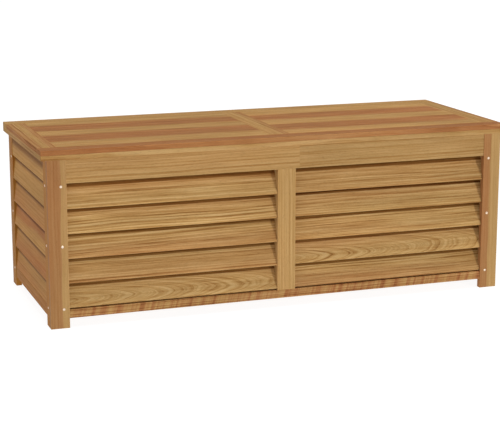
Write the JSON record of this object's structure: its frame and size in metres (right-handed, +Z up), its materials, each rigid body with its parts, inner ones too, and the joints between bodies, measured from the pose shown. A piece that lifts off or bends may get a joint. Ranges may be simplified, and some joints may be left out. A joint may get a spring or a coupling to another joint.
{
  "type": "deck storage box",
  "caption": "Long wooden deck storage box with louvred walls, L-section corner posts and a framed slatted lid that lifts on butt hinges and gas struts.",
  "frame": {"origin": "centre of the object's footprint, on the ground that the posts stand on", "axes": "+X to the right along the length, the front faces -Y, +Z up"},
  "size_m": [1.534, 0.5998, 0.545],
  "materials": {
    "frame_wood": "oiled hardwood, satin",
    "louvre_wood": "oiled hardwood, satin",
    "lid_wood": "oiled hardwood, satin",
    "inner_wood": "planed hardwood, matt",
    "stainless": "satin",
    "strut_tube_paint": "semi-gloss black",
    "strut_rod_chrome": "polished"
  },
  "bodies": {
    "box": {"back_bottom_rail": "frame_wood", "back_centre_stile": "frame_wood", "back_left_louvres": "louvre_wood", "back_left_post_face": "frame_wood", "back_left_post_side": "frame_wood", "back_right_louvres": "louvre_wood", "back_right_post_face": "frame_wood", "back_right_post_side": "frame_wood", "back_top_rail": "frame_wood", "box_hardware_screws": "stainless", "corner_blocks": "inner_wood", "floor_bearers": "inner_wood", "floor_slats": "inner_wood", "front_bottom_rail": "frame_wood", "front_centre_stile": "frame_wood", "front_left_louvre_1": "louvre_wood", "front_left_louvre_2": "louvre_wood", "front_left_louvre_3": "louvre_wood", "front_left_louvre_4": "louvre_wood", "front_left_louvre_5": "louvre_wood", "front_left_post_face": "frame_wood", "front_left_post_side": "frame_wood", "front_right_louvre_1": "louvre_wood", "front_right_louvre_2": "louvre_wood", "front_right_louvre_3": "louvre_wood", "front_right_louvre_4": "louvre_wood", "front_right_louvre_5": "louvre_wood", "front_right_post_face": "frame_wood", "front_right_post_side": "frame_wood", "front_top_rail": "frame_wood", "hinge_box_leaves": "stainless", "hinge_pins": "stainless", "left_bottom_rail": "frame_wood", "left_louvres": "louvre_wood", "left_top_rail": "frame_wood", "post_screws": "stainless", "right_bottom_rail": "frame_wood", "right_louvres": "louvre_wood", "right_top_rail": "frame_wood", "side_battens": "inner_wood", "strut_box_brackets": "stainless"},
    "lid": {"hinge_lid_leaves": "stainless", "lid_back_rail": "lid_wood", "lid_front_rail": "lid_wood", "lid_hardware_screws": "stainless", "lid_left_end_rail": "lid_wood", "lid_left_slats": "lid_wood", "lid_mullion": "lid_wood", "lid_right_end_rail": "lid_wood", "lid_right_slats": "lid_wood", "lid_sub_back": "lid_wood", "lid_sub_centre": "lid_wood", "lid_sub_front": "lid_wood", "lid_sub_left": "lid_wood", "lid_sub_right": "lid_wood", "strut_lid_brackets": "stainless"},
    "left_tube": {"left_strut_tube": "strut_tube_paint"},
    "right_tube": {"right_strut_tube": "strut_tube_paint"},
    "left_rod": {"left_strut_rod": "strut_rod_chrome"},
    "right_rod": {"right_strut_rod": "strut_rod_chrome"}
  },
  "joints": [
    {"name": "lid_hinge", "type": "hinge", "parent": "box", "child": "lid", "pos_m": [0, 0.2954, 0.515], "axis": [-1, 0, 0], "range_deg": [0, 90]},
    {"name": "left_tube_pivot", "type": "hinge", "parent": "lid", "child": "left_tube", "pos_m": [-0.674, 0.02376, 0.501], "axis": [-1, 0, 0], "range_deg": [-45, 0]},
    {"name": "right_tube_pivot", "type": "hinge", "parent": "lid", "child": "right_tube", "pos_m": [0.674, 0.02376, 0.501], "axis": [-1, 0, 0], "range_deg": [-45, 0]},
    {"name": "left_rod_pivot", "type": "hinge", "parent": "box", "child": "left_rod", "pos_m": [-0.674, 0.21587, 0.25489], "axis": [-1, 0, 0], "range_deg": [0, 45]},
    {"name": "right_rod_pivot", "type": "hinge", "parent": "box", "child": "right_rod", "pos_m": [0.674, 0.21587, 0.25489], "axis": [-1, 0, 0], "range_deg": [0, 45]}
  ],
  "couplings": [
    {"joint": "left_tube_pivot", "follows": "lid_hinge", "ratio": -0.5},
    {"joint": "right_tube_pivot", "follows": "lid_hinge", "ratio": -0.5},
    {"joint": "left_rod_pivot", "follows": "lid_hinge", "ratio": 0.5},
    {"joint": "right_rod_pivot", "follows": "lid_hinge", "ratio": 0.5}
  ]
}
